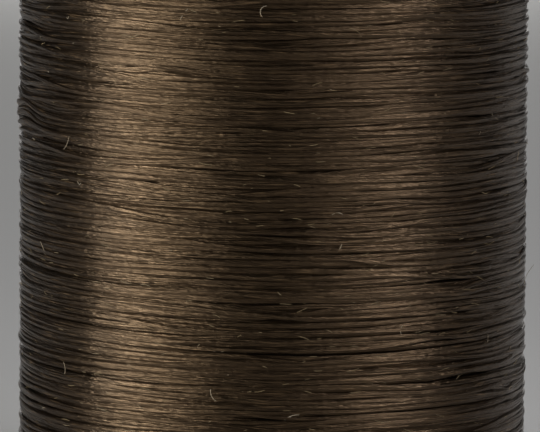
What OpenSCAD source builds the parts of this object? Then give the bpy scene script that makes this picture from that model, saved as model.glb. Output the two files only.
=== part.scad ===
// Flanged spool of waxed thread, standing on its bottom flange.
// Millimetres. +Z runs up the spool's axis, and the origin is the centre of the face it stands on.
// Two identical moulded flanges press into a paperboard tube. The thread is wound level between them:
// its first end is led out beside the tube and laid under the bottom label, and its last end is caught
// in the nick of the top flange.

/* [Thread] */
// Diameter of the waxed thread
thread_d = 0.5; // [0.3:0.05:0.6]
// Turns that the last pass makes on its way from one flange to the other
outer_turns = 22; // [8:1:24]
// Play between the last pass and the turns below it, and between the first turns and the tube
wrap_gap = 0.03; // [0.01:0.01:0.1]

/* [Winding] */
// Diameter over the finished winding
winding_d = 45; // [34:0.5:48]
// Height of the winding, which is also the length of the tube between the flanges
winding_h = 52; // [44:1:80]

/* [Core tube] */
// Outside diameter of the paperboard tube
tube_od = 22; // [18:0.5:28]
// Wall of the paperboard tube
tube_wall = 1.5; // [0.8:0.1:2.4]

/* [Flanges] */
// Diameter of both flanges
flange_d = 50; // [48:0.5:70]
// Thickness of a flange at its rim and at its hub
flange_t = 2.4; // [2:0.1:5]
// Radius that rounds the rim's two edges
rim_round = 0.7; // [0.2:0.1:0.9]
// Length of the spigot that holds the tube
spigot_l = 9; // [4:0.5:16]
// Wall of the spigot
spigot_wall = 1.5; // [1:0.1:2]
// Play between the spigot and the inside of the tube
spigot_gap = 0.05; // [0.02:0.01:0.15]
// Chamfer that leads the spigot into the tube
spigot_lead = 0.5; // [0.2:0.1:0.9]

/* [Hub] */
// Diameter of the hole for a spindle
spindle_d = 8; // [5:0.5:8.5]
// Wall of the hub round the spindle hole
hub_wall = 1.6; // [1.2:0.1:2]
// How far the hub stands in from the flange
hub_l = 7; // [3:0.5:16]
// Chamfer at both mouths of the spindle hole
spindle_lead = 0.5; // [0.2:0.1:0.8]
// Ribs between the hub and the spigot
rib_count = 6; // [3:1:10]
// Thickness of a rib
rib_t = 1.2; // [0.6:0.1:2]

/* [Labels] */
// Diameter of a label
label_d = 37.4; // [34:0.2:39]
// Thickness of a label with its glue
label_t = 0.2; // [0.1:0.05:0.4]
// Depth of the recess that a label sits in
label_recess = 0.6; // [0.4:0.1:0.8]
// Play round a label, at its rim and at the hub
label_gap = 0.3; // [0.1:0.05:0.5]

/* [Thread ends] */
// Play between the thread and the sides of the nick and the groove that hold it
thread_gap = 0.05; // [0.02:0.01:0.1]
// How much the nick widens to each side at the rim
nick_flare = 0.8; // [0.3:0.1:1.5]
// How far in from the rim the flare reaches
nick_flare_depth = 1; // [0.4:0.1:1.4]
// Radius of the hole that leads the first end out of the winding
start_hole_r = 0.5; // [0.4:0.05:0.7]
// From the tube's outside to the middle of that hole
start_offset = 1; // [0.8:0.1:2]
// How far the first end runs under the label
start_run = 5; // [2:0.25:6]

/* [Positions] */
// Direction of the top flange's nick
top_angle = -50; // [-180:5:180]
// Direction of the bottom flange's nick
bottom_angle = 20; // [-180:5:180]

/* [Hidden] */

$fn = 96;
cut = 1;                       // how far a cutting shape runs past the face it opens
arc_steps = 3;                 // flats in a quarter of the rim's rounding
rings_per_turn = 24;           // rings of the thread's mesh in one turn
thread_sides = 6;              // sides of the thread's mesh
bend_steps = 4;                // rings in each quarter bend of the thread

thread_r = thread_d / 2;
total_h = winding_h + 2 * flange_t;
winding_top = flange_t + winding_h;

tube_or = tube_od / 2;
tube_ir = tube_or - tube_wall;

flange_r = flange_d / 2;
spigot_or = tube_ir - spigot_gap;
spigot_ir = spigot_or - spigot_wall;
spindle_r = spindle_d / 2;
hub_r = spindle_r + hub_wall;
rib_root = 0.5;                // how far a rib's ends run into the hub and the spigot

label_r = label_d / 2;
recess_r = label_r + label_gap;
label_hole_r = hub_r + label_gap;

// The last pass lies with its outside on the winding's diameter. A turn is drawn as straight pieces,
// so the turns below it end at the middle of such a piece and not at its corners.
turn_r = winding_d / 2 - thread_r;
pack_r = turn_r * cos(180 / rings_per_turn) - thread_r - wrap_gap;
pack_ir = tube_or + wrap_gap;

nick_r = thread_r + thread_gap;
groove_d = 2 * nick_r;
start_r = tube_or + start_offset;
start_z = label_recess + nick_r;

// The last pass runs straight for one thread diameter off each flange and bends with that radius.
bend_r = thread_d;
bend_angle = bend_r / turn_r * 180 / PI;
helix_low = flange_t + thread_d + bend_r;
helix_high = winding_top - thread_d - bend_r;
lead = (helix_high - helix_low) / outer_turns;
lead_angle = atan(lead / (2 * PI * turn_r));
helix_end_angle = top_angle + bend_angle;
helix_start_angle = helix_end_angle + 360 * outer_turns;

// Points of a quarter circle in a profile, from angle a towards a + 90.
function quarter(x, y, r, a) =
    [for (i = [0:arc_steps]) [x + r * cos(a + 90 * i / arc_steps), y + r * sin(a + 90 * i / arc_steps)]];

// Half section of a flange, radius by height, with its outer face at height 0 and its spigot upwards.
function flange_section() = concat(
    [
        [spindle_r + spindle_lead, 0],
        [hub_r, 0],
        [hub_r, label_recess],
        [recess_r, label_recess],
        [recess_r, 0]
    ],
    quarter(flange_r - rim_round, rim_round, rim_round, -90),
    quarter(flange_r - rim_round, flange_t - rim_round, rim_round, 0),
    [
        [spigot_or, flange_t],
        [spigot_or, flange_t + spigot_l - spigot_lead],
        [spigot_or - spigot_lead, flange_t + spigot_l],
        [spigot_ir, flange_t + spigot_l],
        [spigot_ir, flange_t],
        [hub_r, flange_t],
        [hub_r, flange_t + hub_l],
        [spindle_r + spindle_lead, flange_t + hub_l],
        [spindle_r, flange_t + hub_l - spindle_lead],
        [spindle_r, spindle_lead]
    ]
);

module flange_ribs() {
    rib_l = spigot_ir - hub_r + 2 * rib_root;
    rib_h = min(hub_l, spigot_l) - spindle_lead + rib_root;
    for (i = [0:rib_count - 1])
        rotate([0, 0, 360 * i / rib_count])
            translate([hub_r - rib_root, -rib_t / 2, flange_t - rib_root])
                cube([rib_l, rib_t, rib_h]);
}

// The slot in the rim that catches the thread's last end, in the direction of +X.
module nick() {
    translate([turn_r, 0, -cut])
        cylinder(r = nick_r, h = flange_t + 2 * cut);
    translate([turn_r, -nick_r, -cut])
        cube([flange_r - turn_r + cut, 2 * nick_r, flange_t + 2 * cut]);
    translate([0, 0, -cut])
        linear_extrude(height = flange_t + 2 * cut)
            polygon([
                [flange_r - nick_flare_depth, -nick_r],
                [flange_r + cut, -nick_r - nick_flare * (1 + cut / nick_flare_depth)],
                [flange_r + cut, nick_r + nick_flare * (1 + cut / nick_flare_depth)],
                [flange_r - nick_flare_depth, nick_r]
            ]);
}

// The hole beside the tube and the groove under the label, in the direction of -X.
module start_way() {
    rotate([0, 0, 180]) {
        translate([start_r, 0, -cut])
            cylinder(r = start_hole_r, h = flange_t + 2 * cut);
        translate([start_r, -nick_r, label_recess - cut])
            cube([start_run + thread_gap, 2 * nick_r, groove_d + cut]);
    }
}

// One moulding serves at both ends.
module flange() {
    difference() {
        union() {
            rotate_extrude()
                polygon(flange_section());
            flange_ribs();
        }
        nick();
        start_way();
    }
}

module bottom_flange() {
    color("#2b2a2c")
        rotate([0, 0, bottom_angle])
            flange();
}

module top_flange() {
    color("#2b2a2c")
        translate([0, 0, total_h])
            rotate([0, 0, top_angle])
                rotate([180, 0, 0])
                    flange();
}

module core_tube() {
    color("#9a7d5a")
        translate([0, 0, flange_t])
            difference() {
                cylinder(r = tube_or, h = winding_h);
                translate([0, 0, -cut])
                    cylinder(r = tube_ir, h = winding_h + 2 * cut);
            }
}

module label(z) {
    color("#d9cfb8")
        translate([0, 0, z])
            difference() {
                cylinder(r = label_r, h = label_t);
                translate([0, 0, -cut])
                    cylinder(r = label_hole_r, h = label_t + 2 * cut);
            }
}

module bottom_label() {
    label(label_recess - label_t);
}

module top_label() {
    label(total_h - label_recess);
}

// One ring of the thread round a centre. a and b are square to each other and to the thread there, and
// a x b points along it.
function thread_ring(centre, a, b) =
    [for (k = [0:thread_sides - 1])
        let (turned = 360 * k / thread_sides)
        centre + thread_r * (cos(turned) * a + sin(turned) * b)];

// A closed tube through rings that follow one another along the thread.
module thread_tube(rings) {
    last = (len(rings) - 1) * thread_sides;
    polyhedron(
        points = [for (ring = rings) each ring],
        faces = concat(
            [for (k = [1:thread_sides - 2]) [0, k, k + 1]],
            [for (i = [0:len(rings) - 2])
                for (k = [0:thread_sides - 1])
                    let (
                        here = i * thread_sides + k,
                        next = i * thread_sides + (k + 1) % thread_sides
                    )
                    each [
                        [here, here + thread_sides, next],
                        [next, here + thread_sides, next + thread_sides]
                    ]],
            [for (k = [1:thread_sides - 2]) [last, last + k + 1, last + k]]
        )
    );
}

// The thread's first end as stations [distance from the axis, height, climb]: down through the bottom
// flange, round a bend and out along the groove.
function first_end_stations() = concat(
    [[start_r, flange_t, -90]],
    [for (i = [0:bend_steps])
        let (climb = 90 * i / bend_steps - 90)
        [start_r + bend_r * (1 + sin(climb)), start_z + bend_r * (1 - cos(climb)), climb]],
    [[start_r + start_run, start_z, 0]]
);

module thread_start() {
    color("#3a2a1c")
        rotate([0, 0, bottom_angle + 180])
            thread_tube([for (s = first_end_stations())
                thread_ring([s[0], 0, s[1]], [0, 1, 0], [-sin(s[2]), 0, cos(s[2])])]);
}

module thread_pack() {
    color("#241a13")
        translate([0, 0, flange_t])
            difference() {
                cylinder(r = pack_r, h = winding_h);
                translate([0, 0, -cut])
                    cylinder(r = pack_ir, h = winding_h + 2 * cut);
            }
}

// The last pass as stations [angle round the spool, height, climb], where climb is the angle of the
// thread above level. It climbs clockwise as seen from above, so its turns fall to the right.
function start_stations() = concat(
    [[helix_start_angle + bend_angle, flange_t, 90]],
    [for (i = [0:bend_steps - 1])
        let (climb = 90 - (90 - lead_angle) * i / bend_steps)
        [helix_start_angle + bend_angle * sin(climb), helix_low - bend_r * (1 - cos(climb)), climb]]
);
function helix_stations() =
    [for (i = [0:outer_turns * rings_per_turn])
        [helix_start_angle - 360 * i / rings_per_turn, helix_low + lead * i / rings_per_turn, lead_angle]];
function end_stations() = concat(
    [for (i = [1:bend_steps])
        let (climb = lead_angle + (90 - lead_angle) * i / bend_steps)
        [helix_end_angle - bend_angle * sin(climb), helix_high + bend_r * (1 - cos(climb)), climb]],
    [[top_angle, total_h, 90]]
);
pass_stations = concat(start_stations(), helix_stations(), end_stations());

function station_point(s) = [turn_r * cos(s[0]), turn_r * sin(s[0]), s[1]];

function station_ring(s) = thread_ring(
    station_point(s),
    [cos(s[0]), sin(s[0]), 0],
    [-sin(s[0]) * sin(s[2]), cos(s[0]) * sin(s[2]), cos(s[2])]
);

// Least gap between the thread and itself, between stations from half a turn to a turn and a half apart.
function least_gap(points) =
    min([for (i = [0:len(points) - rings_per_turn / 2 - 1])
        for (j = [i + rings_per_turn / 2:min(i + 3 * rings_per_turn / 2, len(points) - 1)])
            norm(points[i] - points[j])]) - thread_d;

module thread_outer_turns() {
    echo(least_gap_between_outer_turns_mm = least_gap([for (s = pass_stations) station_point(s)]));
    color("#4a3725")
        thread_tube([for (s = pass_stations) station_ring(s)]);
}

bottom_flange();
top_flange();
core_tube();
bottom_label();
top_label();
thread_start();
thread_pack();
thread_outer_turns();
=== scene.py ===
# %% [markdown]
# # A spool of waxed thread
# A spool for a leather worker: two moulded plastic flanges pressed into a paperboard tube, and
# some 250 m of brown waxed thread wound nearly level between them. The flanges, the tube and the
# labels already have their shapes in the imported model. What is left is what an eye knows it by:
# the thread itself, lying turn on turn with its wax and its loose filaments.
# The script works in millimetres and turns them into metres when it writes a mesh.

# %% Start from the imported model
import math

import bmesh
import bpy
import numpy as np
from mathutils import Matrix, Vector


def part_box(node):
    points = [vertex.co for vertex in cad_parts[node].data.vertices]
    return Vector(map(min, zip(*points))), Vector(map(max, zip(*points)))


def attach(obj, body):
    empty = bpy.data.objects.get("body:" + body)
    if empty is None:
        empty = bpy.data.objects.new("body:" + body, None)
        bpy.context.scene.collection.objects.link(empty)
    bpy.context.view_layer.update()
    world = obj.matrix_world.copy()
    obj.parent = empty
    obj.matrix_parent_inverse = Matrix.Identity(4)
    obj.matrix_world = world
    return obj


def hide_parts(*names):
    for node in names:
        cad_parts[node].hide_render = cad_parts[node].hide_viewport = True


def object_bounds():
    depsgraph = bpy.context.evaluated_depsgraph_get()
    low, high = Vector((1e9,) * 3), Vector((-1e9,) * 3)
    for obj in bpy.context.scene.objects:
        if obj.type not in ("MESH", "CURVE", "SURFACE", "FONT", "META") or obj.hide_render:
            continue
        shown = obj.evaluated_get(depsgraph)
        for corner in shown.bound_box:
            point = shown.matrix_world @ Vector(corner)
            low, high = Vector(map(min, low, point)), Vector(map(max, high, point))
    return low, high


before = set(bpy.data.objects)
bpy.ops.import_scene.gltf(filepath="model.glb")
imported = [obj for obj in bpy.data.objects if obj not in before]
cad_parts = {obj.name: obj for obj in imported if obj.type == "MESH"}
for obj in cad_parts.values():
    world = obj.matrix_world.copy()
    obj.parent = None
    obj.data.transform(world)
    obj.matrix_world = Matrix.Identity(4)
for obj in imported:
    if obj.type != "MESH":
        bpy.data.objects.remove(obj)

MM = 0.001
BODY = "root"
scene = bpy.context.scene
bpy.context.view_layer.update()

# %% [markdown]
# ## The sizes that everything else follows
# The winding's height and the spool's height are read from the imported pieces. The thread's
# thickness, the winding's diameter and the directions of the nicks are the same driving sizes
# that the construction has.

# %% Sizes, in millimetres
THREAD_D = 0.5            # the construction's thread, which the nick and the bends follow
WINDING_R = 22.5          # over the finished winding
TUBE_R = 11.0             # outside of the paperboard tube
TOP_NICK_DEG = -50.0      # direction of the nick that holds the last end
BOTTOM_NICK_DEG = 20.0

winding_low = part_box("thread_pack")[0].z / MM
winding_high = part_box("thread_pack")[1].z / MM
winding_h = winding_high - winding_low
spool_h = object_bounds()[1].z / MM
print(f"winding from {winding_low:.1f} to {winding_high:.1f} mm, spool {spool_h:.1f} mm high")

# %% [markdown]
# ## Camera
# The eye looks down at the middle of the winding by seven degrees, from half a metre away through
# a long lens. Both edges of the winding are in view and both flanges are out of it. The sensor's
# shift is the few pixels by which the spool stands off the middle.

# %% Camera
FRAME_W = 540             # pixels, the picture's width
VIEW_HEIGHT = 27.0        # mm above the floor, on the spool's axis
VIEW_DISTANCE = 475.0     # mm
VIEW_DOWN = 7.2           # degrees
VIEW_ROLL = 0.3           # degrees
SPOOL_OFF_MIDDLE = 2.8    # pixels to the right
LENS = 360.1              # mm, on a 36 mm sensor


def add_object(name, data):
    """A new object at the origin that holds this camera, mesh or lamp."""
    made = bpy.data.objects.new(name, data)
    scene.collection.objects.link(made)
    return made


camera_data = bpy.data.cameras.new("camera")
camera_data.lens = LENS
camera_data.shift_x = -SPOOL_OFF_MIDDLE / FRAME_W
camera = add_object("camera", camera_data)
down = math.radians(VIEW_DOWN)
target = Vector((0, 0, VIEW_HEIGHT * MM))
back = Vector((0, -math.cos(down), math.sin(down)))
camera.location = target + back * VIEW_DISTANCE * MM
camera.rotation_mode = "QUATERNION"
roll = Matrix.Rotation(math.radians(VIEW_ROLL), 3, "Z").to_quaternion()
camera.rotation_quaternion = (-back).to_track_quat("-Z", "Y") @ roll
camera_data.clip_start = 0.01
camera_data.clip_end = 10
scene.camera = camera
scene.view_settings.view_transform = "Standard"
print("camera at", [round(x / MM, 1) for x in camera.location], "mm")

# %% [markdown]
# ## Helpers
# Colours are written as the hex values a maker would pick and are turned to linear light once.
# One function adds a shader node with its settings and its links, so that a material reads from top to
# bottom as a recipe. Another dresses a finished mesh: smooth faces, its material and the body it rides on,
# and it hides the CAD nodes that it stands for.

# %% Colour and node helpers
def linear(hex_colour):
    """An sRGB hex colour as the linear RGBA that a shader takes."""
    channels = [int(hex_colour[i:i + 2], 16) / 255 for i in (1, 3, 5)]
    return [c / 12.92 if c <= 0.04045 else ((c + 0.055) / 1.055) ** 2.4 for c in channels] + [1.0]


def add_node(tree, kind, inputs=None, **settings):
    """Adds one shader node. An input that is a node or a socket is linked, and the rest are values."""
    node = tree.nodes.new("ShaderNode" + kind)
    for name, value in settings.items():
        setattr(node, name, value)
    for name, value in (inputs or {}).items():
        if isinstance(value, bpy.types.Node):
            value = value.outputs[0]
        if isinstance(value, str):
            value = linear(value)
        if isinstance(value, bpy.types.NodeSocket):
            tree.links.new(value, node.inputs[name])
        else:
            node.inputs[name].default_value = value
    return node


def new_material(name):
    """A material without nodes, and its tree."""
    material = bpy.data.materials.new(name)
    material.use_nodes = True
    material.node_tree.nodes.clear()
    print("material", name)
    return material, material.node_tree


def give_surface(tree, inputs):
    """Adds the material's Principled shader, with these values and links."""
    shader = add_node(tree, "BsdfPrincipled", inputs)
    add_node(tree, "OutputMaterial", {"Surface": shader})


def set_ramp(ramp, *stops):
    """Sets the positions and the colours of a colour ramp."""
    for element, (position, hex_colour) in zip(ramp.color_ramp.elements, stops):
        element.position = position
        element.color = linear(hex_colour)


def plain_material(name, inputs):
    """A material of one colour."""
    material, tree = new_material(name)
    give_surface(tree, inputs)
    return material


def dress(piece, material, replaced=()):
    """Finishes a piece: smooth faces, material, body, and hides the CAD nodes that it stands for."""
    for face in piece.data.polygons:
        face.use_smooth = True
    piece.data.materials.clear()
    piece.data.materials.append(material)
    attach(piece, BODY)
    if replaced:
        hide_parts(*replaced)
    triangles = sum(len(face.vertices) - 2 for face in piece.data.polygons)
    print(f"{piece.name}: {triangles} triangles")


def new_piece(name, bm):
    """A new object at the origin whose mesh is the finished bmesh, which is in metres."""
    mesh = bpy.data.meshes.new(name)
    bm.to_mesh(mesh)
    bm.free()
    return add_object(name, mesh)

# %% [markdown]
# ## How the thread lies
# A winding machine turns the spool while a guide carries the thread up and down. Each pass is a
# long helix, and the next pass crosses it at a small angle. The thread is under tension, so it
# slides off the backs of the threads below it and drops into the grooves between them until
# friction stops it, bridges the hollows in a taut line and presses down what is high. Copies of
# one ring would never show that, and a bump map would not show it at the edge. So the last twenty
# passes are laid one by one on a height map of the winding, a grid of directions by heights.
# The thread turns clockwise as seen from above, so a pass that climbs falls to the right.

# %% The winding's grid
DIRECTIONS = 160          # stations of the thread in one turn
HEIGHT_STEP = 0.02        # mm between the grid's heights
LAID_W = 0.25             # half the width of the thread that lies pressed on the spool, mm
LAID_T = 0.185            # half its thickness, mm
TURNS = 36                # in one pass
PASSES = 20               # laid here, on top of the plain core
SINK = 0.05               # mm by which a thread beds into the soft ones below it
station_step = 2 * math.pi * WINDING_R / DIRECTIONS
height_count = round(winding_h / HEIGHT_STEP)
rng = np.random.default_rng(21)

footprint = np.arange(-int(LAID_W / HEIGHT_STEP), int(LAID_W / HEIGHT_STEP) + 1)


def thickness_at(offset, half_w, half_t):
    """Height of the thread's back over its middle line, at an offset across it."""
    return half_t * np.sqrt(np.clip(1 - (offset / half_w) ** 2, 0, 1))


def wander(count, length, amount):
    """A smooth random drift for so many stations, with bends of about this length. All in mm."""
    per_knot = length / station_step
    knots = rng.standard_normal(int(count / per_knot) + 4)
    place = np.arange(count) / per_knot
    knot = place.astype(int)
    t = place - knot
    t = t * t * (3 - 2 * t)
    return amount * (knots[knot] * (1 - t) + knots[knot + 1] * t)


def blur(field, across_mm=0.0, around_mm=0.0):
    """The field averaged over so many mm of height and of the way round."""
    for length, step, axis, mode in (
        (across_mm, HEIGHT_STEP, 1, "edge"), (around_mm, station_step, 0, "wrap")
    ):
        width = int(length / step) | 1
        if width < 3:
            continue
        pad = [(0, 0), (0, 0)]
        pad[axis] = (width // 2 + 1, width // 2)
        total = np.cumsum(np.pad(field, pad, mode=mode), axis=axis)
        ahead = np.take(total, range(width, total.shape[axis]), axis=axis)
        behind = np.take(total, range(total.shape[axis] - width), axis=axis)
        field = (ahead - behind) / width
    return field


def read_field(field, direction, height):
    """The field's value at each direction, between its heights."""
    place = np.clip(height / HEIGHT_STEP - 0.5, 0, field.shape[1] - 1.001)
    row = place.astype(int)
    t = place - row
    return field[direction, row] * (1 - t) + field[direction, row + 1] * t

# %% [markdown]
# ## Laying one pass
# `seat_height` says how far out a thread's middle would lie anywhere on the winding: its belly
# touches the highest thing in its footprint. A pass then relaxes like a taut string on a bumpy
# drum. Its curvature pulls it straight, the slope of the seat pulls it into the grooves, and
# friction cancels a small pull. After that the string is drawn tight outwards: no station may be
# further in than the straight line between its neighbours.

# %% Laying one pass
SLIDES = 220              # relaxation steps
SLIDE_RATE = 0.22         # share of a pull that one step gives way to
FRICTION = 0.10           # the size of a pull that it cancels
GUIDE_HOLD = 0.15         # how firmly the pass keeps to where the guide laid it
GROOVES = (0.5, 0.12)     # how strongly the slopes of single grooves pull, and over how many mm
HOLLOWS = (0.9, 0.5)      # the same for wide hollows
TAUT_STEPS = 50


def seat_height(field):
    """How high a thread's middle lies over each place of the height map."""
    pad = len(footprint) // 2
    padded = np.pad(field, ((0, 0), (pad, pad)), mode="edge")
    seat = np.full_like(field, -1e3)
    for i, belly in enumerate(thickness_at(footprint * HEIGHT_STEP, LAID_W, LAID_T)):
        np.maximum(seat, padded[:, i:i + field.shape[1]] + belly, out=seat)
    return seat - SINK


def lay_pass(field, direction, guide):
    """Lets a pass slide from the guide's line into the grooves. Returns its heights and its radii."""
    seat = seat_height(field)
    (grooves, narrow), (hollows, wide) = GROOVES, HOLLOWS
    feel = grooves * blur(seat, narrow) + hollows * blur(blur(seat, wide), wide)
    slope = np.gradient(feel, HEIGHT_STEP, axis=1)
    rate = SLIDE_RATE * station_step ** 2 / WINDING_R
    height = guide.copy()
    bend = np.zeros_like(height)
    for _ in range(SLIDES):
        bend[1:-1] = (height[2:] - 2 * height[1:-1] + height[:-2]) / station_step ** 2
        pull = bend * WINDING_R - read_field(slope, direction, height) - GUIDE_HOLD * (height - guide)
        pull = np.sign(pull) * np.maximum(np.abs(pull) - FRICTION, 0)
        slide = np.clip(rate * pull, -HEIGHT_STEP, HEIGHT_STEP)
        height = np.clip(height + slide, LAID_W, winding_h - LAID_W)
    base = WINDING_R + read_field(seat, direction, height)
    radius = base.copy()
    chord = math.cos(2 * math.pi / DIRECTIONS)
    for _ in range(TAUT_STEPS):
        line = 2 * chord * radius[2:] * radius[:-2] / (radius[2:] + radius[:-2])
        radius[1:-1] = np.maximum(base[1:-1], line)
    return height, radius - WINDING_R


def deposit(field, direction, height, radius):
    """Adds a laid pass to the height map."""
    row = np.round(height / HEIGHT_STEP - 0.5).astype(int)[:, None] + footprint[None, :]
    offset = (row + 0.5) * HEIGHT_STEP - height[:, None]
    back = radius[:, None] + thickness_at(offset, LAID_W, LAID_T)
    row = np.clip(row, 0, height_count - 1)
    np.maximum.at(field, (np.broadcast_to(direction[:, None], row.shape), row), back)

# %% [markdown]
# ## Winding the spool
# The guide's line is a steady climb or fall with a little hunting in it. After each pass the
# winding's broad ridges are levelled, because a ridge carries more of the tension than a hollow.
# At the end the relief is pressed flatter still, and everything is moved out or in together until the
# outermost thread lies on the winding's diameter. One flaw is put in: at the spool's left a turn has
# snagged, so its neighbours are gathered into a bunch that stands out beside it.

# %% Wind it
LEVELLING = 0.8           # share of a ridge or hollow that a pass evens out
PRESSED = 0.40            # share of the relief that stays at the end
SNAG_DEG = -165.0         # direction of the snag
SNAG_HEIGHT = 35.6        # mm up the winding
SNAG_GATHER = (3.2, 1.6, 0.7)  # half its length and height in mm, share of the way to its middle
SNAG_LUMP = (-2.6, -1.5, 2.6, 1.3, 0.34)  # mm: beside and above the snag, half sizes, how far out
RIDGE_ACROSS = 0.9        # mm over which a ridge or a hollow is told from its surroundings
RIDGE_AROUND = 4
HUNTING = ((70, 0.20), (22, 0.07), (9, 0.02))  # length and size of the guide's drifts, mm


def guide_line(count, climbs, stop_short):
    """Where the guide lays a pass of so many stations, in mm above the bottom flange."""
    t = np.linspace(0, 1, count)
    line = LAID_W + (winding_h - 2 * LAID_W - stop_short) * (t if climbs else 1 - t)
    inner = np.minimum(1, np.minimum(t, 1 - t) * TURNS)
    return line + inner * sum(wander(count, length, amount) for length, amount in HUNTING)


def snag(azimuth, height):
    """How far in mm the snag moves a thread up and out, at a direction and a height up the winding."""
    beside = ((azimuth - math.radians(SNAG_DEG) + math.pi) % (2 * math.pi) - math.pi) * WINDING_R
    above = height - SNAG_HEIGHT
    length, span, share = SNAG_GATHER
    gather = -share * above * np.exp(-(beside / length) ** 2 - ((above + 0.4 * span) / span) ** 2)
    x, z, half_x, half_z, out = SNAG_LUMP
    return gather, out * np.exp(-((beside - x) / half_x) ** 2 - ((above - z) / half_z) ** 2)


BEND_R = THREAD_D         # the bend where the last end turns up into its nick
last_azimuth = math.radians(TOP_NICK_DEG) + BEND_R / (WINDING_R - THREAD_D / 2)
lengths = [round((TURNS + rng.uniform(0.1, 0.9)) * DIRECTIONS) for _ in range(PASSES)]
last_station = sum(lengths)
field = np.zeros((DIRECTIONS, height_count))
passes = []
start = 0
for number, length in enumerate(lengths):
    station = start + np.arange(length + 1)
    direction = station % DIRECTIONS
    climbs = (PASSES - number) % 2 == 1
    stop_short = 1.5 * BEND_R if number == PASSES - 1 else 0
    height, radius = lay_pass(field, direction, guide_line(length + 1, climbs, stop_short))
    deposit(field, direction, height, radius)
    passes.append({"station": station, "height": height, "radius": radius})
    ridges = blur(blur(blur(blur(field, RIDGE_ACROSS), RIDGE_ACROSS), 0, RIDGE_AROUND), 0, RIDGE_AROUND)
    change = LEVELLING * (ridges.mean() - ridges)
    field += change
    for laid in passes:
        laid["radius"] += read_field(change, laid["station"] % DIRECTIONS, laid["height"])
    start += length

envelope = blur(blur(blur(field, RIDGE_ACROSS), RIDGE_ACROSS), 0, RIDGE_AROUND)
for laid in passes:
    near = read_field(envelope, laid["station"] % DIRECTIONS, laid["height"])
    laid["radius"] = near + PRESSED * (laid["radius"] - near)
field = envelope + PRESSED * (field - envelope)
outwards = WINDING_R - max(laid["radius"].max() for laid in passes) - LAID_T
for laid in passes:
    laid["azimuth"] = last_azimuth + 2 * math.pi * (last_station - laid["station"]) / DIRECTIONS
    gather, lump = snag(laid["azimuth"], laid["height"])
    laid["radius"] = laid["radius"] + outwards + lump
    laid["height"] = laid["height"] + gather + winding_low
azimuths = last_azimuth + 2 * math.pi * (last_station - np.arange(DIRECTIONS)) / DIRECTIONS
heights = (np.arange(height_count) + 0.5) * HEIGHT_STEP
field += outwards + snag(azimuths[:, None], heights[None, :])[1]
print("relief of the winding, mm:", np.round(np.percentile(field, [1, 5, 50, 95, 99]) - WINDING_R, 3))

# %% [markdown]
# ## From a line to a thread
# A thread is a long tube whose section is pressed flat. A grid of vertices from bmesh is rolled
# into that tube: its rows become rings across the thread and its two long edges are merged under
# the thread, where they don't show. Twisted filaments never lie equally wide, so each ring's
# width and thickness drift a little. The tube gets a map in millimetres along and round the
# thread, which the filaments follow, and a second one with the turns in rows, for baking.

# %% Roll a grid into a thread
BAKE_MARGIN = 0.04        # of a row's height, between two rows of the map for baking


def drift(count, length, amount, seed):
    """A random drift round 1 that a piece of thread shows along its length."""
    noise = np.random.default_rng(seed).standard_normal(count)
    width = length / station_step
    reach = np.arange(-int(3 * width), int(3 * width) + 1)
    kernel = np.exp(-(reach / width) ** 2)
    smooth = np.convolve(noise, kernel, mode="same")
    return 1 + amount * smooth / np.sqrt((kernel ** 2).sum())


def thread_tube(name, middle, outward, half_w, half_t, sides=12, along_start=0.0):
    """A closed tube round a line of points in mm, pressed flat along the outward directions."""
    count = len(middle)
    along = np.gradient(middle, axis=0)
    along /= np.linalg.norm(along, axis=1)[:, None]
    outward = outward - (outward * along).sum(1)[:, None] * along
    outward /= np.linalg.norm(outward, axis=1)[:, None]
    across = np.cross(along, outward)
    bm = bmesh.new()
    bmesh.ops.create_grid(bm, x_segments=sides, y_segments=count - 1, size=1)
    mesh = bpy.data.meshes.new(name)
    bm.to_mesh(mesh)
    flat = np.empty(len(mesh.vertices) * 3)
    mesh.vertices.foreach_get("co", flat)
    turned = np.round((flat[0::3] + 1) / 2 * sides).astype(int)
    ring = np.round((flat[1::3] + 1) / 2 * (count - 1)).astype(int)
    angle = 2 * math.pi * turned / sides
    place = (
        middle[ring]
        - outward[ring] * (np.cos(angle) * half_t[ring])[:, None]
        + across[ring] * (np.sin(angle) * half_w[ring])[:, None]
    )
    mesh.vertices.foreach_set("co", (place * MM).ravel())
    corner = np.empty(len(mesh.loops), dtype=np.int32)
    mesh.loops.foreach_get("vertex_index", corner)
    steps = np.linalg.norm(np.diff(middle, axis=0), axis=1)
    travelled = along_start + np.concatenate([[0], np.cumsum(steps)])
    rim = math.pi * (half_w.mean() + half_t.mean())
    mesh.uv_layers.new(name="thread_mm").data.foreach_set(
        "uv", np.stack([travelled[ring], turned / sides * rim], 1)[corner].ravel()
    )
    rows = (count - 1) // DIRECTIONS + 1
    per_row = math.ceil((count - 1) / rows)
    face_ring = ring[corner].reshape(-1, 4).min(1)
    row = np.repeat(face_ring // per_row, 4)
    bake_u = (ring[corner] - row * per_row) / per_row
    bake_v = (row + BAKE_MARGIN + (1 - 2 * BAKE_MARGIN) * turned[corner] / sides) / rows
    mesh.uv_layers.new(name="OFBake").data.foreach_set("uv", np.stack([bake_u, bake_v], 1).ravel())
    bm.clear()
    bm.from_mesh(mesh)
    bpy.data.meshes.remove(mesh)
    bm.verts.ensure_lookup_table()
    seam = [bm.verts[i] for i in np.flatnonzero((turned == 0) | (turned == sides))]
    bmesh.ops.remove_doubles(bm, verts=seam, dist=1e-7)
    bmesh.ops.holes_fill(bm, edges=[edge for edge in bm.edges if edge.is_boundary], sides=0)
    bmesh.ops.recalc_face_normals(bm, faces=bm.faces)
    return new_piece(name, bm), travelled[-1]

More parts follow.
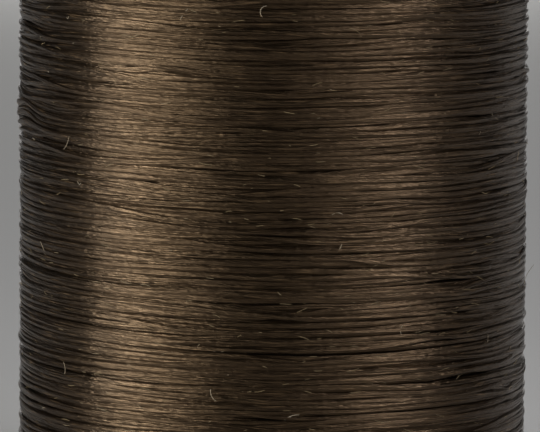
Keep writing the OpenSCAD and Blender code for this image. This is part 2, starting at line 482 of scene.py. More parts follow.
# %% [markdown]
# ## The waxed thread's finish
# Polyester filament thread, dyed dark brown and drawn through wax. The dye makes it nearly black
# where no lamp is mirrored. The filaments lie along the thread like combed hair, so a lamp's
# reflection is spread far across the thread and hardly at all along it, and it comes back
# coloured brown because part of it has passed through dyed filaments. That is an anisotropic
# gloss with a tint. The wax fills the gaps between the filaments and leaves the streaks soft.

# %% Waxed thread material
PLIES = 3
PLY_PITCH = 60.0          # mm in which the loosely laid plies go round once
PLY_DEPTH = 0.035         # mm, the groove between two plies
STREAKS = (               # length and width of a streak and how far it stands out, in mm
    (30.0, 0.20, 0.110),  # how the plies lie
    (6.0, 0.10, 0.050),   # bundles of filaments
    (2.0, 0.26, 0.052),   # where the whole thread bends over the one below
    (0.8, 0.08, 0.036),   # where a bundle turns under
    (0.40, 0.06, 0.028),  # filament ends and grains of wax, drawn coarse enough to show
)
PAINTED_GLINT_STREAK = (2.6, 0.075)  # length and width of a painted glint: a pale streak in the colour where filaments catch the light
TONE = (30, 3)            # mm along and across, in which dye and wax change a little
TWIST = 0.015             # mm that the filaments drift round for each mm along


def waxed_thread():
    """Dyed and waxed filament thread."""
    material, tree = new_material("waxed_polyester_thread")
    place = add_node(tree, "UVMap", uv_map="thread_mm")
    along, across, _ = add_node(tree, "SeparateXYZ", {0: place}).outputs
    turned = add_node(tree, "Math", {0: along, 1: TWIST, 2: across}, operation="MULTIPLY_ADD")
    twisted = add_node(tree, "CombineXYZ", {0: along, 1: turned})

    rim = math.pi * (LAID_W + LAID_T)
    round_share = add_node(tree, "Math", {0: across, 1: rim}, operation="DIVIDE")
    lay = add_node(tree, "Math", {0: along, 1: 1 / PLY_PITCH, 2: round_share}, operation="MULTIPLY_ADD")
    ply = add_node(tree, "Math", {0: lay, 1: PLIES}, operation="MULTIPLY")
    to_groove = add_node(tree, "Math", {0: ply, 1: 0.5}, operation="PINGPONG")
    back = add_node(tree, "Math", {0: to_groove, 1: 0.5}, operation="POWER")
    relief = add_node(tree, "Math", {0: back, 1: PLY_DEPTH}, operation="MULTIPLY")
    for length, width, height in STREAKS:
        lie = add_node(tree, "Mapping", {0: twisted, "Scale": (1 / length, 1 / width, 1)})
        streak = add_node(tree, "TexNoise", {
            "Vector": lie, "Scale": 1.0, "Detail": 0.0}, noise_dimensions="2D")
        relief = add_node(tree, "Math", {0: streak, 1: height, 2: relief}, operation="MULTIPLY_ADD")
    bump = add_node(tree, "Bump", {"Strength": 1.0, "Distance": MM, "Height": relief})
    tone_place = add_node(tree, "Mapping", {0: place, "Scale": (1 / TONE[0], 1 / TONE[1], 1)})
    tone = add_node(tree, "TexNoise", {
        "Vector": tone_place, "Scale": 1.0, "Detail": 2.0}, noise_dimensions="2D")
    gloss = add_node(tree, "MapRange", {
        "Value": tone, "From Min": 0.3, "From Max": 0.7, "To Min": 0.28, "To Max": 0.40})
    dye = add_node(tree, "ValToRGB", {0: tone})
    set_ramp(dye, (0.35, "#080604"), (0.65, "#110c08"))
    # Pale streaks are painted into the base colour here: a painted glint for filaments that catch the
    # light.
    glint_length, glint_width = PAINTED_GLINT_STREAK
    glint_lie = add_node(tree, "Mapping", {
        0: twisted, "Location": (3, 7, 0), "Scale": (1 / glint_length, 1 / glint_width, 1)})
    glint_noise = add_node(tree, "TexNoise", {
        "Vector": glint_lie, "Scale": 1.0, "Detail": 1.0}, noise_dimensions="2D")
    painted_glint = add_node(tree, "MapRange", {
        "Value": glint_noise, "From Min": 0.62, "From Max": 0.80, "To Min": 0.0, "To Max": 1.0})
    colour = add_node(tree, "Mix", {0: painted_glint, 6: dye, 7: "#54432f"}, data_type="RGBA")
    give_surface(tree, {
        "Base Color": colour.outputs[2],
        "Roughness": gloss,
        "Normal": bump,
        "Tangent": add_node(tree, "Tangent", direction_type="UV_MAP", uv_map="thread_mm"),
        "IOR": 1.56,
        "Specular IOR Level": 1.0,
        "Specular Tint": "#ffd4a4",
        "Anisotropic": 0.9,
        "Anisotropic Rotation": 0.25,
    })
    return material


thread_material = waxed_thread()

# %% [markdown]
# ## The passes that show
# Only the passes that can be seen between later turns need a mesh. Each is a piece of its own,
# and the next one goes on where it ends, so the thread is unbroken. At the very end the thread
# turns up through the nick in the top flange's rim, where nothing presses it flat, and is cut off
# just above the flange.

# %% The visible passes
SHOWN_PASSES = 8
ROUND_R = math.sqrt(LAID_W * LAID_T)  # mm, the thread where nothing presses it flat
TAIL_OUT = 0.9            # mm that the cut end stands out of the nick
TAIL_LEAN = 0.25          # mm that it leans outwards
WIDTH_DRIFT = 0.10        # share by which the width changes over some mm
SHORT_DRIFT = 0.04        # the same over one mm
BEND_PULL = 1.6 * BEND_R  # how far a bend follows its ends' directions


def on_drum(azimuth, radius, height):
    """Points at these directions, radii and heights, and the directions straight out there."""
    out = np.stack([np.cos(azimuth), np.sin(azimuth), np.zeros_like(azimuth)], 1)
    middle = out * radius[:, None]
    middle[:, 2] = height
    return middle, out


def turn_into(start, start_way, end, end_way, pull, count):
    """Points of a smooth bend from one point and direction to another, without its first point."""
    t = np.linspace(0, 1, count + 1)[1:, None]
    return (
        (2 * t ** 3 - 3 * t ** 2 + 1) * start + (t ** 3 - 2 * t ** 2 + t) * pull * start_way
        + (3 * t ** 2 - 2 * t ** 3) * end + (t ** 3 - t ** 2) * pull * end_way
    )


nick_way = math.radians(TOP_NICK_DEG)
nick_out = np.array([math.cos(nick_way), math.sin(nick_way), 0])
nick_floor = nick_out * (WINDING_R - THREAD_D / 2) + np.array([0, 0, winding_high - BEND_R])
up = np.array([0, 0, 1.0])
run = 0.0
for number in range(PASSES - SHOWN_PASSES, PASSES):
    last = number == PASSES - 1
    laid = passes[number]
    middle, out = on_drum(laid["azimuth"], laid["radius"], laid["height"])
    wider = drift(len(middle), 4, WIDTH_DRIFT, number)
    half_w = LAID_W * wider * drift(len(middle), 1, SHORT_DRIFT, 50 + number)
    half_t = LAID_T * (2 - wider)
    if last:
        way = middle[-1] - middle[-2]
        bend = turn_into(middle[-1], way / np.linalg.norm(way), nick_floor, up, BEND_PULL, 8)
        rise = spool_h + TAIL_OUT - nick_floor[2]
        tail = nick_floor + up * np.linspace(0, rise, 14)[1:, None]
        tail[-4:, :2] += np.linspace(0, TAIL_LEAN, 4)[:, None] * nick_out[:2]
        middle = np.concatenate([middle, bend, tail])
        out = np.concatenate([out, np.tile(nick_out, (len(bend) + len(tail), 1))])
        rounder = np.linspace(0, 1, len(bend))
        half_w, half_t = (
            np.concatenate([half, half[-1] + (ROUND_R - half[-1]) * rounder, np.full(len(tail), ROUND_R)])
            for half in (half_w, half_t)
        )
        tail_tip = middle[-1]
    name = f"thread_pass_{number - PASSES + SHOWN_PASSES + 1:02d}"
    piece, run = thread_tube(name, middle, out, half_w, half_t, sides=10, along_start=run)
    dress(piece, thread_material, ["thread_outer_turns" if last else "thread_pack"])

# %% [markdown]
# ## The turns underneath
# Under the passes that show lie two hundred metres more of the same thread. Nothing of them is
# seen but a dark glint in a gap between later turns, so they are one solid: a half section with a
# scallop for each turn, spun once round the axis. The map in millimetres is laid on afterwards.

# %% The turns underneath
SPIN_STEPS = 96
SCALLOP = 0.08            # mm that a turn stands out of the groove beside it
OVERLAP = 0.1             # mm by which the solid reaches into the passes
TUBE_PLAY = 0.03          # mm between it and the tube


def closed_section(points):
    """A bmesh with a closed line through (radius, height) points in mm, in the plane y = 0."""
    bm = bmesh.new()
    verts = [bm.verts.new((r * MM, 0, z * MM)) for r, z in points]
    for i, vert in enumerate(verts):
        bm.edges.new((vert, verts[(i + 1) % len(verts)]))
    return bm


def spin_round(bm, steps):
    """Spins what the bmesh holds once round the axis and closes the seam."""
    bmesh.ops.spin(bm, geom=bm.verts[:] + bm.edges[:], cent=(0, 0, 0), axis=(0, 0, 1),
                   angle=2 * math.pi, steps=steps, use_merge=True)
    bmesh.ops.recalc_face_normals(bm, faces=bm.faces)


under_r = min(passes[PASSES - SHOWN_PASSES]["radius"]) - LAID_T + OVERLAP
inside_r = TUBE_R + TUBE_PLAY
half_section = [(inside_r, winding_high), (inside_r, winding_low)]
turn_count = round(winding_h / (2 * LAID_W))
for i in range(turn_count):
    low = winding_low + i * winding_h / turn_count
    half_section += [(under_r - SCALLOP, low), (under_r, low + 0.3 * winding_h / turn_count),
                     (under_r, low + 0.7 * winding_h / turn_count)]
bm = closed_section(half_section + [(under_r - SCALLOP, winding_high)])
spin_round(bm, SPIN_STEPS)
thread_map = bm.loops.layers.uv.new("thread_mm")
for face in bm.faces:
    centre = face.calc_center_median()
    turn = Matrix.Rotation(-math.atan2(centre.y, centre.x), 3, "Z")
    for loop in face.loops:
        near = turn @ loop.vert.co
        around = math.atan2(near.y, near.x) + math.atan2(centre.y, centre.x)
        loop[thread_map].uv = (around * under_r, loop.vert.co.z / MM)
under_turns = new_piece("thread_under_turns", bm)
dress(under_turns, thread_material, ["thread_pack"])

# %% [markdown]
# ## The thread's first end
# Before the first turn is wound, the end is led down through a hole beside the tube and laid
# outwards in a groove, where the bottom label glues it down. It is a short length of the same
# tube, along the route that the construction gives it.

# %% The first end
START_R = TUBE_R + 1.0    # where it goes down through the flange
START_RUN = 5.0           # mm that it runs under the label
START_Z = 0.9             # height of its middle in the groove

start_way = math.radians(BOTTOM_NICK_DEG + 180)
start_out = np.array([math.cos(start_way), math.sin(start_way), 0])
top_of_hole = start_out * START_R + up * winding_low
foot = start_out * START_R + up * (START_Z + BEND_R)
heel = start_out * (START_R + BEND_R) + up * START_Z
toe = start_out * (START_R + START_RUN) + up * START_Z
middle = np.concatenate([
    np.linspace(top_of_hole, foot, 6),
    turn_into(foot, -up, heel, start_out, BEND_PULL, 8),
    np.linspace(heel, toe, 16)[1:],
])
sideways = np.tile(np.cross(up, start_out), (len(middle), 1))
same = np.full(len(middle), ROUND_R)
first_end, _ = thread_tube("thread_first_end", middle, sideways, same, same)
dress(first_end, thread_material, ["thread_start"])

# %% [markdown]
# ## Loose filaments and lint
# Every spool that has been handled has them: single filaments that have sprung out of the
# thread, short bits of pale lint that stick to the wax, and a curl here and there. They are what
# breaks the outline and gives the surface its age. Each is a few points on an arc over the
# winding, and all of one kind share one curve object with a thin bevel, which is then made a
# mesh. The grains of wax that sit on the thread are the shortest hairs of the lint.

# %% Hairs on the winding
FRONT = -90               # degrees, the direction of the viewer's side
HAIR_POINTS = 7
HAIR_GAP = 0.02           # mm between a hair's middle and the threads under it
# How many there are and their radius in mm, which is more than the real 0.01 so that they show.
FILAMENTS, FILAMENT_R = 1200, 0.018
LINT_BITS, LINT_R = 34, 0.028
FRAYS, FRAY_R = 9, 0.03   # the filaments that spread at the cut end


def hair(azimuth, height, length, lean, curl, lift):
    """Points of a hair over the winding. Angles are in degrees, lift is how far its tip stands out."""
    t = np.linspace(0, 1, HAIR_POINTS)
    heading = np.radians(lean + curl * t)
    step = length / (HAIR_POINTS - 1)
    across = np.concatenate([[0], np.cumsum(np.cos(heading[:-1]))]) * step
    rise = np.concatenate([[0], np.cumsum(np.sin(heading[:-1]))]) * step
    direction = (math.radians(azimuth) - last_azimuth) * DIRECTIONS / (2 * math.pi)
    station = np.round(last_station - direction - across / station_step).astype(int) % DIRECTIONS
    under = read_field(field, station, np.full(HAIR_POINTS, height - winding_low) + rise)
    radius = under.max() + HAIR_GAP + lift * (1 - np.cos(t * math.pi / 2))
    middle, _ = on_drum(math.radians(azimuth) + across / WINDING_R, radius, height + rise)
    return middle * MM


def hairs_piece(name, hairs, hair_r, material):
    """One mesh of hairs, each a thin tube."""
    curve = bpy.data.curves.new(name, "CURVE")
    curve.dimensions = "3D"
    curve.bevel_depth = hair_r * MM
    curve.bevel_resolution = 0
    curve.use_fill_caps = True
    for points in hairs:
        spline = curve.splines.new("POLY")
        spline.points.add(len(points) - 1)
        for point, place in zip(spline.points, points):
            point.co = (*place, 1)
        spline.points[len(points) - 1].radius = 0.4
    drawn = bpy.data.objects.new(name + "_drawn", curve)
    mesh = bpy.data.meshes.new_from_object(drawn)
    bpy.data.objects.remove(drawn)
    dress(add_object(name, mesh), material)


# The loose filaments are real, but their pale colour is a painted glint: it stands in for short highlights
# where filaments catch the light.
pale_glint_filament_material = plain_material("loose_filament_painted_glint", {
    "Base Color": "#9c8862", "Roughness": 0.45, "Specular IOR Level": 0.8})
lint_material = plain_material("cotton_lint", {
    "Base Color": "#9f8f74", "Roughness": 0.8, "Sheen Weight": 0.3})

pick = np.random.default_rng(5)
loose = []
for _ in range(FILAMENTS):
    lean = pick.choice([0, 180]) + pick.normal(0, 7)
    place = pick.uniform(0, 360), pick.uniform(winding_low + 1, winding_high - 1)
    loose.append(hair(*place, pick.uniform(0.4, 1.3), lean, pick.normal(0, 20), abs(pick.normal(0, 0.08))))
loose.append(hair(FRONT + 49.1, 24.2, 2.2, -30, 8, 0.15))
loose.append(hair(FRONT + 84.0, 21.4, 1.8, 88, 10, 0.85))
hairs_piece("loose_filaments", loose, FILAMENT_R, pale_glint_filament_material)

LINT = (                  # direction from the front, height, length, lean, curl, lift; degrees and mm
    (-53.5, 34.3, 1.7, 38, 25, 0.20),
    (-48.6, 31.8, 0.9, -60, 130, 0.20),
    (-51.9, 45.9, 0.9, 200, 300, 0.10),
    (-13.4, 15.0, 1.2, -95, 80, 0.15),
    (57.6, 37.4, 1.1, -40, 20, 0.12),
    (52.0, 35.7, 0.5, 30, 60, 0.10),
    (-53.3, 14.9, 1.2, 60, 60, 0.20),
)
FLECKS = (                # grains of wax: direction from the front in degrees, height in mm
    (9.6, 38.0), (26.6, 38.4), (38.5, 22.5), (-48.3, 43.6), (-48.3, 43.8), (-50.1, 43.5), (-47.3, 43.2),
    (-63.7, 43.6), (-61.1, 40.7), (-12.8, 18.2), (-11.1, 18.2), (-10.0, 16.2), (54.0, 27.0),
)
lint = [hair(FRONT + turn, *rest) for turn, *rest in LINT]
lint += [hair(FRONT + turn, height, 0.24, 20, 0, 0.05) for turn, height in FLECKS]
for _ in range(LINT_BITS):
    place = pick.uniform(0, 360), pick.uniform(winding_low + 2, winding_high - 2)
    size = pick.uniform(0.4, 1.4)
    lint.append(hair(*place, size, pick.uniform(0, 360), pick.normal(0, 90), pick.uniform(0.05, 0.25)))
hairs_piece("lint", lint, LINT_R, lint_material)

frayed = []
for _ in range(FRAYS):
    side = np.array([*pick.normal(0, 0.5, 2), 0])
    start = tail_tip + side * 0.2 - up * 0.1
    tip = start + side * 0.5 + up * pick.uniform(0.25, 0.6)
    frayed.append(turn_into(start, up, tip, tip - start, 0.5, 5) * MM)
hairs_piece("frayed_end", frayed, FRAY_R, pale_glint_filament_material)

# %% [markdown]
# ## The flanges
# One moulding serves at both ends: a disc with a rounded rim, a recess for the label, a spigot
# that grips the inside of the tube, a hub for the spindle and ribs between the two. It is turned
# as a half section that is spun round the axis. The corners that a mould can't make sharp get a
# small bevel along their rings, and that bevel is what catches the light. The ribs are bevelled
# bars. The nick, the hole and the groove are cut with a boolean, as they cross the turned form.

# %% The half section of a flange
FLANGE_R = 25.0
FLANGE_T = winding_low
RIM_ROUND = 0.7
RECESS_R = 19.0
RECESS = 0.6
SPIGOT_OR, SPIGOT_IR = 9.45, 7.95
SPIGOT_L = 9.0
HUB_R, HUB_L = 5.6, 7.0
SPINDLE_R = 4.0
LEAD = 0.5                # chamfers of the spindle hole and the spigot
RIBS, RIB_T = 6, 1.2
NICK_HALF = 0.3           # half the width of the nick and of the groove
FLARE, FLARE_DEPTH = 0.8, 1.0  # how much the nick opens on each side at the rim, and over what depth
START_HOLE_R = 0.5
GROOVE_PLAY = 0.05
RIB_ROOT = 0.3            # how far a rib runs into the hub, the spigot and the disc
RIB_EDGE = 0.12           # bevel of a rib
TURN_STEPS = 144
WELD = 0.002              # mm between corners that a cut leaves almost on each other

# radius, height and rounding of each corner, from the spindle hole's mouth out and back
SECTION = (
    (SPINDLE_R + LEAD, 0, 0.12),
    (HUB_R, 0, 0.15),
    (HUB_R, RECESS, 0),
    (RECESS_R, RECESS, 0),
    (RECESS_R, 0, 0.15),
    (FLANGE_R, 0, RIM_ROUND),
    (FLANGE_R, FLANGE_T, RIM_ROUND),
    (SPIGOT_OR, FLANGE_T, 0),
    (SPIGOT_OR, FLANGE_T + SPIGOT_L - LEAD, 0.1),
    (SPIGOT_OR - LEAD, FLANGE_T + SPIGOT_L, 0.1),
    (SPIGOT_IR, FLANGE_T + SPIGOT_L, 0.15),
    (SPIGOT_IR, FLANGE_T, 0),
    (HUB_R, FLANGE_T, 0),
    (HUB_R, FLANGE_T + HUB_L, 0.15),
    (SPINDLE_R + LEAD, FLANGE_T + HUB_L, 0.1),
    (SPINDLE_R, FLANGE_T + HUB_L - LEAD, 0.1),
    (SPINDLE_R, LEAD, 0.12),
)


def bevel_ring(bm, radius, height, offset):
    """Bevels the ring of edges at this radius and height, all in mm."""
    def on_ring(vert):
        return abs(vert.co.xy.length - radius * MM) < 1e-6 and abs(vert.co.z - height * MM) < 1e-6
    ring = [edge for edge in bm.edges if on_ring(edge.verts[0]) and on_ring(edge.verts[1])]
    bmesh.ops.bevel(bm, geom=ring, offset=offset * MM, segments=6 if offset > 0.5 else 3,
                    profile=0.5, affect="EDGES", material=-1)


def bar(bm, low, high, direction_deg, bevel=0.0):
    """Adds a bar between two corners in mm, turned about the axis by so many degrees."""
    size = [(b - a) * MM for a, b in zip(low, high)]
    centre = [(a + b) / 2 * MM for a, b in zip(low, high)]
    place = Matrix.Rotation(math.radians(direction_deg), 4, "Z") @ Matrix.Translation(centre)
    made = bmesh.ops.create_cube(bm, size=1, matrix=place @ Matrix.Diagonal((*size, 1)))
    if bevel:
        edges = list({edge for vert in made["verts"] for edge in vert.link_edges})
        bmesh.ops.bevel(bm, geom=edges, offset=bevel * MM, segments=2,
                        profile=0.5, affect="EDGES", material=-1)


# %% Cut and place both flanges
def post(x, radius, sides):
    """A bmesh with an upright cylinder at this x in mm, taller than a flange."""
    bm = bmesh.new()
    bmesh.ops.create_cone(bm, cap_ends=True, segments=sides, radius1=radius * MM, radius2=radius * MM,
                          depth=4 * FLANGE_T * MM, matrix=Matrix.Translation((x * MM, 0, 0)))
    return bm


def cut_away(piece, bm):
    """Cuts what the bmesh holds out of a mesh object for good."""
    cutter = new_piece("cutter", bm)
    modifier = piece.modifiers.new("cut", "BOOLEAN")
    modifier.object = cutter
    modifier.operation = "DIFFERENCE"
    modifier.solver = "EXACT"
    ready = piece.evaluated_get(bpy.context.evaluated_depsgraph_get())
    mesh = bpy.data.meshes.new_from_object(ready)
    piece.modifiers.clear()
    old = piece.data
    piece.data = mesh
    bpy.data.meshes.remove(old)
    bpy.data.objects.remove(cutter)


def flange(name, direction_deg, turned_over):
    """One flange with its outer face down at height 0, or turned over at the top of the spool."""
    bm = closed_section([corner[:2] for corner in SECTION])
    spin_round(bm, TURN_STEPS)
    for radius, height, rounding in SECTION:
        if rounding:
            bevel_ring(bm, radius, height, rounding)
    rib_low = (HUB_R - RIB_ROOT, -RIB_T / 2, FLANGE_T - RIB_ROOT)
    rib_high = (SPIGOT_IR + RIB_ROOT, RIB_T / 2, FLANGE_T + HUB_L - LEAD)
    for i in range(RIBS):
        bar(bm, rib_low, rib_high, 360 * i / RIBS, bevel=RIB_EDGE)
    piece = new_piece(name, bm)

    nick_r = WINDING_R - THREAD_D / 2
    cut_away(piece, post(nick_r, NICK_HALF, sides=24))
    bm = bmesh.new()
    flare_low, flare_high = FLANGE_R - FLARE_DEPTH, FLANGE_R + FLARE_DEPTH
    outline = [(nick_r, NICK_HALF), (flare_low, NICK_HALF), (flare_high, NICK_HALF + 2 * FLARE)]
    outline += [(x, -y) for x, y in reversed(outline)]
    face = bm.faces.new([bm.verts.new((x * MM, y * MM, -FLANGE_T * MM)) for x, y in outline])
    walls = bmesh.ops.extrude_face_region(bm, geom=[face])
    tops = [part for part in walls["geom"] if isinstance(part, bmesh.types.BMVert)]
    bmesh.ops.translate(bm, verts=tops, vec=(0, 0, 3 * FLANGE_T * MM))
    bmesh.ops.recalc_face_normals(bm, faces=bm.faces)
    cut_away(piece, bm)
    cut_away(piece, post(-START_R, START_HOLE_R, sides=32))
    bm = bmesh.new()
    groove_end = START_R + START_RUN + GROOVE_PLAY
    bar(bm, (START_R, -NICK_HALF, 0), (groove_end, NICK_HALF, RECESS + 2 * NICK_HALF), 180)
    cut_away(piece, bm)

    place = Matrix.Rotation(math.radians(direction_deg), 4, "Z")
    if turned_over:
        place = Matrix.Translation((0, 0, spool_h * MM)) @ place @ Matrix.Rotation(math.pi, 4, "X")
    piece.data.transform(place)
    bm = bmesh.new()
    bm.from_mesh(piece.data)
    bmesh.ops.remove_doubles(bm, verts=bm.verts, dist=WELD * MM)
    bmesh.ops.dissolve_degenerate(bm, edges=bm.edges, dist=WELD * MM)
    bm.to_mesh(piece.data)
    bm.free()
    return piece

# %% [markdown]
# ## The flanges' plastic
# Spools like this are moulded in polystyrene, coloured dark in the mass. Out of a spark-eroded
# mould it has a fine grain that spreads the light, with faint rings where the mould was turned,
# and it wears to a shine and to paler scratches where it has rubbed on a spindle rest or in a
# drawer. The patterns read object coordinates in millimetres.

# %% Coordinates in millimetres
def millimetres(tree):
    """Sockets that give a place on the object in mm: as a vector, and its x, y and z one by one."""
    place = add_node(tree, "TexCoord").outputs["Object"]
    vector = add_node(tree, "Mapping", {0: place, "Scale": (1 / MM,) * 3}).outputs[0]
    return vector, *add_node(tree, "SeparateXYZ", {0: vector}).outputs


def axis_distance(tree, x, y):
    """The distance from the spool's axis."""
    flat = add_node(tree, "CombineXYZ", {0: x, 1: y})
    return add_node(tree, "VectorMath", {0: flat}, operation="LENGTH").outputs["Value"]

# %% Moulded polystyrene
GRAIN = 0.22              # mm, the mould's grain, drawn coarser than the real 0.05 so that it shows
TOOL_RING = 0.35          # mm between the mould's turning marks
WEAR = 6                  # mm between rubbed and fresh places
SCRATCH = (9, 0.16, 3)    # mm along, across and through a scratch


def moulded_plastic():
    """Dark polystyrene out of a grained mould."""
    material, tree = new_material("moulded_polystyrene")
    mm_place, x, y, _ = millimetres(tree)
    radius = axis_distance(tree, x, y)
    grain = add_node(tree, "TexNoise", {"Vector": mm_place, "Scale": 1 / GRAIN, "Detail": 2.0})
    rings = add_node(tree, "TexNoise", {
        "W": radius, "Scale": 1 / TOOL_RING, "Detail": 3.0}, noise_dimensions="1D")
    clouds = add_node(tree, "TexNoise", {"Vector": mm_place, "Scale": 1 / WEAR, "Detail": 4.0})
    scratch_lie = add_node(tree, "Mapping", {
        0: mm_place, "Rotation": (0, 0, 0.6), "Scale": [1 / size for size in SCRATCH]})
    scratches = add_node(tree, "TexNoise", {
        "Vector": scratch_lie, "Scale": 1.0, "Detail": 1.0, "Distortion": 0.3})
    scratched = add_node(tree, "MapRange", {
        "Value": scratches, "From Min": 0.69, "From Max": 0.76, "To Min": 0.0, "To Max": 0.6})
    tone = add_node(tree, "Mix", {0: clouds, 6: "#2b2a2c", 7: "#363538"}, data_type="RGBA")
    colour = add_node(tree, "Mix", {
        0: scratched, 6: tone.outputs[2], 7: "#5a595c"}, data_type="RGBA")
    rubbed = add_node(tree, "MapRange", {
        "Value": clouds, "From Min": 0.35, "From Max": 0.65, "To Min": 0.34, "To Max": 0.5})
    relief = add_node(tree, "Math", {0: rings, 1: 0.35, 2: grain}, operation="MULTIPLY_ADD")
    bump = add_node(tree, "Bump", {"Strength": 0.5, "Distance": 0.02 * MM, "Height": relief})
    give_surface(tree, {"Base Color": colour.outputs[2], "Roughness": rubbed, "Normal": bump, "IOR": 1.59})
    return material


plastic = moulded_plastic()
SHARP_DEG = 32
for name, direction_deg, turned_over in (
    ("bottom_flange", BOTTOM_NICK_DEG, False), ("top_flange", TOP_NICK_DEG, True)
):
    piece = flange(name + "_moulding", direction_deg, turned_over)
    dress(piece, plastic, [name])
    piece.data.set_sharp_from_angle(angle=math.radians(SHARP_DEG))
    flat_faces = piece.modifiers.new("flat_faces_stay_flat", "WEIGHTED_NORMAL")
    flat_faces.keep_sharp = True

# %% [markdown]
# ## The paperboard tube
# The tube is wound from strips of kraft paper and glue, so a seam climbs it in a helix and the
# paper's flecks lie in all directions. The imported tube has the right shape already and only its
# bore can be seen, so it keeps its mesh and gets the board's finish.

# %% Kraft paperboard
SEAM_PITCH = 38.0         # mm that the seam climbs in a turn
FLECK = 0.5               # mm between the paper's flecks


def kraft_board():
    """Spirally wound brown board: matt, flecked, with a seam."""
    material, tree = new_material("kraft_paperboard")
    mm_place, x, y, z = millimetres(tree)
    way = add_node(tree, "Math", {0: y, 1: x}, operation="ARCTAN2")
    turns = add_node(tree, "Math", {0: way, 1: 2 * math.pi}, operation="DIVIDE")
    climb = add_node(tree, "Math", {0: z, 1: 1 / SEAM_PITCH, 2: turns}, operation="MULTIPLY_ADD")
    across = add_node(tree, "Math", {0: climb, 1: 0.5}, operation="PINGPONG")
    seam = add_node(tree, "MapRange", {
        "Value": across, "From Min": 0.0, "From Max": 0.012, "To Min": 1.0, "To Max": 0.0})
    fleck = add_node(tree, "TexNoise", {"Vector": mm_place, "Scale": 1 / FLECK, "Detail": 4.0})
    board = add_node(tree, "Mix", {0: fleck, 6: "#7f6443", 7: "#b3946c"}, data_type="RGBA")
    colour = add_node(tree, "Mix", {0: seam, 6: board.outputs[2], 7: "#5c452b"}, data_type="RGBA")
    bump = add_node(tree, "Bump", {"Strength": 0.6, "Distance": 0.06 * MM, "Height": fleck})
    give_surface(tree, {
        "Base Color": colour.outputs[2], "Roughness": 0.85, "Specular IOR Level": 0.3, "Normal": bump})
    return material


core_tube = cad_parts["core_tube"]
core_tube.data.materials.clear()
core_tube.data.materials.append(kraft_board())

# %% [markdown]
# ## The labels
# A round of uncoated paper is glued in the recess of each flange. The paper is thin and takes the
# form of what is under it, with a faint cockle where the glue dried, so each is a fine disc whose
# height follows a slow wave. The print is two plain rings.

# %% Paper labels
LABEL_R = 18.7
LABEL_HOLE_R = 5.9
LABEL_T = 0.2
COCKLE = 0.025            # mm
RING_WIDE = (16.9, 17.5)  # mm from the axis
RING_FINE = (16.2, 16.4)
TOOTH = 0.18              # mm between the paper's fibres, drawn coarser than real so that they show
BLOTCH = 4                # mm between the paper's paler and darker places
INK_BLEED = 0.08          # mm that a ring's edge wanders with the paper's tooth


def label_paper():
    """Uncoated cream paper with two printed rings."""
    material, tree = new_material("uncoated_paper")
    mm_place, x, y, _ = millimetres(tree)
    tooth = add_node(tree, "TexNoise", {"Vector": mm_place, "Scale": 1 / TOOTH, "Detail": 3.0})
    cloud = add_node(tree, "TexNoise", {"Vector": mm_place, "Scale": 1 / BLOTCH, "Detail": 4.0})
    edge = add_node(tree, "Math", {
        0: tooth, 1: INK_BLEED, 2: axis_distance(tree, x, y)}, operation="MULTIPLY_ADD")
    rings = []
    for low, high in (RING_WIDE, RING_FINE):
        middle = add_node(tree, "Math", {
            0: edge, 1: (low + high + INK_BLEED) / 2}, operation="SUBTRACT")
        off = add_node(tree, "Math", {0: middle}, operation="ABSOLUTE")
        rings.append(add_node(tree, "Math", {0: off, 1: (high - low) / 2}, operation="LESS_THAN"))
    ink = add_node(tree, "Math", dict(enumerate(rings)), operation="MAXIMUM")
    solid = add_node(tree, "MapRange", {
        "Value": tooth, "From Min": 0.25, "From Max": 0.5, "To Min": 0.72, "To Max": 0.95})
    inked = add_node(tree, "Math", {0: ink, 1: solid}, operation="MULTIPLY")
    paper = add_node(tree, "ValToRGB", {0: cloud})
    set_ramp(paper, (0.25, "#d8cdb2"), (0.75, "#e0d7c0"))
    colour = add_node(tree, "Mix", {0: inked, 6: paper, 7: "#4a3523"}, data_type="RGBA")
    bump = add_node(tree, "Bump", {"Strength": 0.5, "Distance": 0.03 * MM, "Height": tooth})
    give_surface(tree, {
        "Base Color": colour.outputs[2], "Roughness": 0.78, "Specular IOR Level": 0.35, "Normal": bump})
    return material


def label(name, material, inner_z, outer_z, seed):
    """A paper label between two heights in mm. The outer one is the face that shows."""
    corners = [(LABEL_HOLE_R, inner_z), (LABEL_R, inner_z), (LABEL_R, outer_z), (LABEL_HOLE_R, outer_z)]
    bm = closed_section(corners)
    spin_round(bm, TURN_STEPS)
    long_edges = [edge for edge in bm.edges if edge.calc_length() > (LABEL_R - LABEL_HOLE_R - 0.1) * MM]
    bmesh.ops.subdivide_edges(bm, edges=long_edges, cuts=30, use_grid_fill=True)
    phase = np.random.default_rng(seed).uniform(0, 2 * math.pi, 3)
    inwards = 1 if inner_z > outer_z else -1
    for vert in bm.verts:
        way = math.atan2(vert.co.y, vert.co.x)
        r = vert.co.xy.length / MM
        slow = math.sin(3 * way + phase[0] + r * 0.25) * math.sin(r * 0.5 + phase[1])
        wave = slow + 0.5 * math.sin(7 * way + phase[2])
        vert.co.z += inwards * COCKLE * MM * (1 + wave / 1.5) / 2 * (r - LABEL_HOLE_R) / LABEL_R
    bmesh.ops.recalc_face_normals(bm, faces=bm.faces)
    piece = new_piece(name + "_paper", bm)
    dress(piece, material, [name])
    piece.data.set_sharp_from_angle(angle=math.radians(SHARP_DEG))


paper_material = label_paper()
label("bottom_label", paper_material, RECESS, RECESS - LABEL_T, 3)
label("top_label", paper_material, spool_h - RECESS, spool_h - RECESS + LABEL_T, 4)

# %% [markdown]
# ## The table and the lamps
# Waxed thread has hardly any colour of its own, so what the eye reads is where the lamps are
# mirrored in it. On an upright winding each direction on the surface mirrors the room at twice
# that angle, so a wide lamp at the left gives a bright upright band and a dimmer one at the right
# gives a second. Each is a row of upright panels whose brightness rises away from the viewer, as
# a diffuser does towards its bulb, and falls again in the last panel. That gives each band a long
# soft flank and a steep one. Weak lamps at the back and above show the far side and the top.

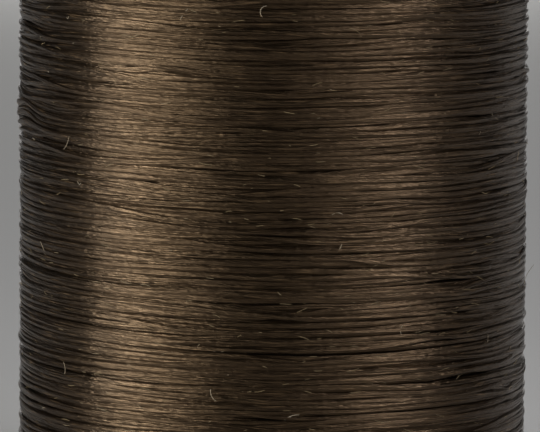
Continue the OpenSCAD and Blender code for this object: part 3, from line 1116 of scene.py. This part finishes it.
# %% Floor and light
floor_material = plain_material("pale_floor", {"Base Color": "#c4c3c0", "Roughness": 0.9})
bm = bmesh.new()
bmesh.ops.create_circle(bm, cap_ends=True, segments=96, radius=2.5)
floor = new_piece("floor", bm)
floor.data.materials.append(floor_material)


def softbox(name, azimuth, elevation, distance, width, height, strength, colour="#ffffff"):
    """A rectangular lamp turned to the winding. Azimuth 0 is the camera's side and plus its right."""
    lamp = bpy.data.lights.new(name, "AREA")
    lamp.shape = "RECTANGLE"
    lamp.size = width
    lamp.size_y = height
    lamp.energy = strength * width * height * math.pi
    lamp.color = linear(colour)[:3]
    light = add_object(name, lamp)
    a, e = math.radians(azimuth), math.radians(elevation)
    away = Vector((math.sin(a) * math.cos(e), -math.cos(a) * math.cos(e), math.sin(e)))
    light.location = target + away * distance
    light.rotation_mode = "QUATERNION"
    light.rotation_quaternion = away.to_track_quat("Z", "Y")


LAMP_DISTANCE = 0.6       # m
LAMP_H = 0.13             # m
# name, inner and outer edge and elevation in degrees, colour, brightness of the panels
SOFTBOXES = (
    ("left_softbox", -20, -85, 4, "#feffff", (2.1, 7.9, 14.5, 21.0, 11.4)),
    ("right_softbox", 14, 83, 33, "#f8f8ff", (1.0, 3.6, 6.7, 9.2, 5.2)),
)
for name, inner, outer, elevation, colour, levels in SOFTBOXES:
    panel = (outer - inner) / len(levels)
    width = 2 * LAMP_DISTANCE * math.tan(math.radians(abs(panel) / 2))
    for i, level in enumerate(levels):
        middle = inner + panel * (i + 0.5)
        softbox(f"{name}_{i + 1}", middle, elevation, LAMP_DISTANCE, width, LAMP_H, level, colour)
softbox("back_softbox", 180, 5, LAMP_DISTANCE, 0.25, LAMP_H, 1.2)
softbox("right_back_softbox", 137, 4, LAMP_DISTANCE, 0.3, LAMP_H, 0.4)
softbox("back_top_softbox", 180, 50, 0.8, 0.5, 0.35, 2.1)
softbox("top_softbox", 0, 90, 0.11, 0.05, 0.05, 4.5)
print(len(bpy.data.lights), "lamps")

WORLD_LIGHT = 0.03
world = bpy.data.worlds.new("studio")
scene.world = world
world.use_nodes = True
background = world.node_tree.nodes["Background"]
background.inputs["Color"].default_value = linear("#d8d7d4")
background.inputs["Strength"].default_value = WORLD_LIGHT
